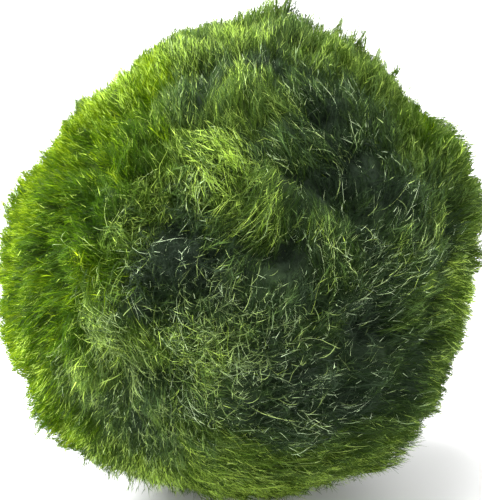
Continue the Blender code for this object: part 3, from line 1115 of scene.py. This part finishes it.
def sprig_places():
    """Where the sprigs stand, how far their tips stand out, and the spike that each belongs to."""
    places = [spread_over_ball(stray_count, seed=82, disorder=1.0)]
    heights = [sprig_draw.uniform(-0.5, 0.3, size=stray_count) * MM]
    spikes = [places[0]]
    for middle in spread_over_ball(spike_count, seed=83, disorder=0.7):
        near_by = sprig_draw.normal(scale=spike_width / ball_radius, size=(spike_sprigs, 3))
        height = sprig_draw.uniform(-0.6, 0.6) * MM
        places.append(unit(middle + near_by))
        heights.append(height - sprig_draw.uniform(0.0, 0.5, size=spike_sprigs) * MM)
        spikes.append(np.tile(middle, (spike_sprigs, 1)))
    for right, up, width, height, count in tall_tufts:
        middle = seen_direction(right, up)
        near_by = sprig_draw.normal(scale=width * MM / 2 / ball_radius, size=(count, 3))
        places.append(unit(middle + near_by))
        heights.append(height * MM * sprig_draw.uniform(0.35, 1.0, size=count))
        spikes.append(np.tile(middle, (count, 1)))
    return np.concatenate(places), np.concatenate(heights), np.concatenate(spikes)


sprig_directions, sprig_heights, spike_directions = sprig_places()
sprigs, sprig_looks = grow_paths(
    sprig_directions, sprig_steps, sprig_draw, depth_scale=0.1 * MM, length_scale=0.95, curl=0.06
)
sprigs += (sprig_directions * (sprig_heights + sprig_stands_out)[:, None])[:, None, :]
towards_spike = (spike_directions - sprig_directions) * ball_radius
for step in range(sprig_steps + 1):
    sprigs[:, step] += towards_spike * spike_pull * (step / sprig_steps) ** 1.5
side_points, side_begins, side_looks = side_filaments(sprigs, sprig_looks, 8, sprig_draw)
mesh_piece(
    "tall_sprigs",
    [
        ribbons(sprigs, sprig_looks, 0.100 * MM, 0.040 * MM, sprig_draw),
        ribbons(side_points, side_looks, 0.085 * MM, 0.030 * MM, sprig_draw, side_begins),
    ],
    living,
)

# The runners: thin wiry filaments, dull green to pale, that lie loose on the pile where it is
# oldest. Both of their ends dip into it, and some spring together from one place as a fan.
runner_width = 0.055 * MM
fan_bundle = 4
fan_width = 1.8 * MM
bundle_width = 0.22 * MM
bundle_spread = math.radians(7)
loose_spread = math.radians(45)
back_runners = 300
runner_draw = np.random.default_rng(71)

# Each patch: right and up of the middle (mm), its reach (mm), and how many runners it has
runner_patches = (
    (-3.0, -5.0, 4.5, 60),
    (-3.0, -12.0, 6.0, 200),
    (3.0, -15.0, 6.0, 44),
    (-14.0, -9.0, 6.0, 70),
    (-6.0, 5.0, 4.0, 20),
    (9.0, -12.0, 6.0, 22),
    (16.5, -9.5, 4.0, 6),
    (17.0, 0.0, 5.0, 24),
    (-8.0, -21.0, 5.0, 50),
)

# Each fan: right and up of the middle (mm), the headings between which its runners spread
# (degrees anticlockwise from the right), how long they are (mm), and how many
runner_fans = (
    (-17.0, -10.5, 205, 262, 4.0, 24),
    (-16.8, -10.3, 310, 350, 4.5, 32),
    (-13.0, -12.5, 300, 345, 4.5, 28),
    (-20.0, -13.0, 205, 260, 3.5, 20),
    (-15.0, -16.0, 250, 310, 3.5, 24),
    (-9.0, -18.0, 260, 350, 3.5, 28),
    (12.0, 12.0, 125, 150, 4.0, 20),
    (8.5, 9.0, 125, 150, 4.0, 14),
)


def runner_starts():
    """Where each loose runner lies, as directions from the ball's middle."""
    spreads_in_reach = 1.6
    starts = []
    for right, up, reach, count in runner_patches:
        middle = seen_direction(right, up)
        spread = reach * MM / ball_radius / spreads_in_reach
        starts.append(unit(middle + runner_draw.normal(scale=spread, size=(count, 3))))
    behind = spread_over_ball(2 * back_runners, seed=72, disorder=1.0)
    starts.append(behind[behind @ seen_near < -0.1])
    return np.concatenate(starts)


def fan_starts():
    """Where the fans' runners start, the way that each one sets out, and its length."""
    starts = []
    headings = []
    lengths = []
    for right, up, first, last, length, count in runner_fans:
        middle = seen_direction(right, up)
        bundles = count // fan_bundle
        from_middle = runner_draw.normal(scale=fan_width / ball_radius, size=(bundles, 3))
        angles = np.radians(runner_draw.uniform(first, last, size=(bundles, 1)))
        from_middle = np.repeat(from_middle, fan_bundle, axis=0)
        angles = np.repeat(angles, fan_bundle, axis=0)
        count = len(angles)
        from_middle += runner_draw.normal(scale=bundle_width / ball_radius, size=(count, 3))
        angles += runner_draw.normal(scale=bundle_spread, size=(count, 1))
        starts.append(unit(middle + from_middle))
        headings.append(np.cos(angles) * seen_right + np.sin(angles) * seen_up)
        lengths.append(length * MM * runner_draw.uniform(0.45, 1.1, size=count))
    return np.concatenate(starts), np.concatenate(headings), np.concatenate(lengths)


def runner_paths(starts, heading, length, steps, wander):
    """Paths that wander over the pile: both ends dip into it, and the middle lies on top."""
    dip = 1.0 * MM
    count = len(starts)
    heading = unit(heading - (heading * starts).sum(axis=1, keepdims=True) * starts)
    top = runner_draw.uniform(0.0, 0.5, size=count) * MM
    bend = runner_draw.normal(scale=0.6 * wander, size=count)
    points = np.empty((count, steps + 1, 3))
    direction = starts
    _, hollow_depth = hollow_at(starts)
    for step in range(steps + 1):
        depth = top + hollow_depth + dip * (2 * step / steps - 1) ** 2
        points[:, step] = ball_middle + direction * (outer_reach(direction) - depth)[:, None]
        heading = turned(heading, direction, bend + runner_draw.normal(scale=wander, size=count))
        direction = unit(direction + heading * (length / steps / ball_radius)[:, None])
        heading = unit(heading - (heading * direction).sum(axis=1, keepdims=True) * direction)
    return points


def runner_material():
    """Older filament: dull green to pale grey-green, a little glossy."""
    material, nodes, links, shader = new_material("runners", roughness=0.45, specular=0.12)
    split = place_on_map(nodes, links)
    dull, pale = (0.040, 0.070, 0.022), (0.310, 0.430, 0.130)
    colours = colour_map(nodes, ((0.0, dull), (1.0, pale)))
    links.new(split.outputs["X"], colours.inputs["Fac"])
    links.new(colours.outputs["Color"], shader.inputs["Base Color"])
    return material


def runner_looks(starts, low, high):
    """The looks of runners, whose place between dull and pale differs from one to the next."""
    return {
        "fresh": runner_draw.uniform(low, high, size=len(starts)),
        "bright": np.ones(len(starts)),
        "out": starts,
    }


loose_starts = runner_starts()
loose_combs, _ = comb_at(loose_starts)
loose_turns = runner_draw.normal(scale=loose_spread, size=len(loose_starts))
loose_headings = turned(loose_combs, loose_starts, loose_turns)
loose_lengths = runner_draw.uniform(1.2, 3.6, size=len(loose_starts)) * MM
loose = runner_paths(loose_starts, loose_headings, loose_lengths, 5, wander=0.08)
fan_places, fan_headings, fan_lengths = fan_starts()
fanned = runner_paths(fan_places, fan_headings, fan_lengths, 6, wander=0.05)
loose_looks = runner_looks(loose_starts, 0.10, 0.95)
loose_blades = ribbons(loose, loose_looks, runner_width, 0.028 * MM, runner_draw)
fan_looks = runner_looks(fan_places, 0.25, 0.90)
fan_blades = ribbons(fanned, fan_looks, runner_width, 0.030 * MM, runner_draw)
mesh_piece("runners", [loose_blades, fan_blades], runner_material())
